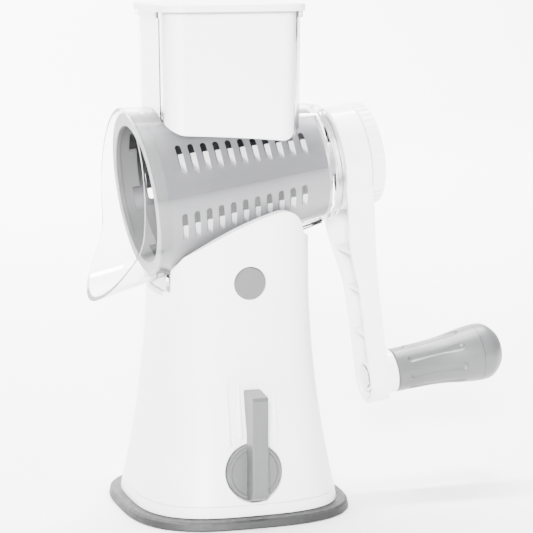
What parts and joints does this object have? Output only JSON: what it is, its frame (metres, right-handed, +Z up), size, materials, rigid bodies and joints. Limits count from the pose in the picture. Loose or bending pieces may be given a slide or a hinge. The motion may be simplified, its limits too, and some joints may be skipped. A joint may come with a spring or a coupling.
{
  "type": "rotary cheese grater",
  "caption": "Hand-cranked rotary grater: white tower on a suction base, clear barrel and hopper, slotted steel drum, side crank with a turning grip.",
  "frame": {"origin": "centre of the suction foot on the worktop", "axes": "+Z up, +X towards the crank, -X towards the food outlet, -Y the front with the button and the suction knob"},
  "size_m": [0.2531, 0.1344, 0.29],
  "materials": {
    "body_white": "smooth gloss white moulding",
    "fastener_steel": "plain steel screws",
    "foot_rubber": "dark grey soft rubber",
    "cup_rubber": "dark grey soft rubber, smooth underside",
    "inner_white": "plain white moulding",
    "inner_grey": "plain grey moulding",
    "knob_grey": "satin mid grey moulding",
    "button_grey": "satin light grey moulding",
    "spring_steel": "spring wire",
    "housing_clear": "clear polished moulding",
    "blade_steel": "satin stainless sheet with punched slots",
    "ring_grey": "satin light grey moulding",
    "hub_grey": "satin grey moulding",
    "crank_white": "smooth gloss white moulding",
    "nut_white": "gloss white moulding with a ribbed edge",
    "spindle_steel": "turned steel",
    "grip_grey": "satin mid grey moulding with long flutes",
    "cap_grey": "satin mid grey moulding",
    "pusher_white": "smooth white moulding",
    "lid_white": "smooth white moulding"
  },
  "bodies": {
    "base": {"body_shell": "body_white", "base_skirt": "body_white", "base_screws": "fastener_steel", "foot_ring": "foot_rubber", "button_spring": "spring_steel"},
    "suction_stem": {"suction_yoke": "inner_white", "suction_diaphragm": "cup_rubber"},
    "suction_lever": {"suction_knob": "knob_grey", "suction_cam_shaft": "inner_grey"},
    "latch": {"release_button": "button_grey", "button_latch": "inner_grey"},
    "barrel": {"barrel_housing": "housing_clear", "rear_bush": "inner_white"},
    "pusher": {"pusher_body": "pusher_white", "pusher_lid": "lid_white"},
    "crank": {"drive_shaft": "inner_white", "crank_arm": "crank_white", "crank_nut": "nut_white", "grip_spindle": "spindle_steel", "grip_lock_nut": "fastener_steel"},
    "drum": {"drum_blade_cone": "blade_steel", "drum_front_ring": "ring_grey", "drum_rear_hub": "hub_grey"},
    "grip": {"grip_sleeve": "grip_grey", "grip_end_cap": "cap_grey"}
  },
  "joints": [
    {"name": "suction_turn", "type": "hinge", "parent": "base", "child": "suction_lever", "pos_m": [-0.0004, -0.052, 0.0295], "axis": [0, 1, 0], "range_deg": [0, 90]},
    {"name": "suction_lift", "type": "slide", "parent": "base", "child": "suction_stem", "axis": [0, 0, 1], "range_m": [0, 0.004], "deforming": ["suction_diaphragm"]},
    {"name": "release_press", "type": "slide", "parent": "base", "child": "latch", "axis": [0, 1, 0], "range_m": [0, 0.0035], "stiffness_N_per_m": 150, "springref_m": -0.003, "deforming": ["button_spring"]},
    {"name": "barrel_lift", "type": "slide", "parent": "base", "child": "barrel", "axis": [0, 0, 1], "range_m": [0, 0.06]},
    {"name": "pusher_lift", "type": "slide", "parent": "barrel", "child": "pusher", "axis": [0, 0, 1], "range_m": [0, 0.09]},
    {"name": "crank_turn", "type": "hinge", "parent": "barrel", "child": "crank", "pos_m": [0.05781, 0, 0.19769], "axis": [0.9903, 0, 0.1392], "continuous": true},
    {"name": "drum_pull", "type": "slide", "parent": "crank", "child": "drum", "axis": [-0.9903, 0, -0.1392], "range_m": [0, 0.13]},
    {"name": "grip_spin", "type": "hinge", "parent": "crank", "child": "grip", "pos_m": [0.12878, 0, 0.07356], "axis": [0.9903, 0, 0.1392], "continuous": true}
  ],
  "couplings": [
    {"joint": "suction_lift", "follows": "suction_turn", "m_per_rad": 0.002546}
  ]
}
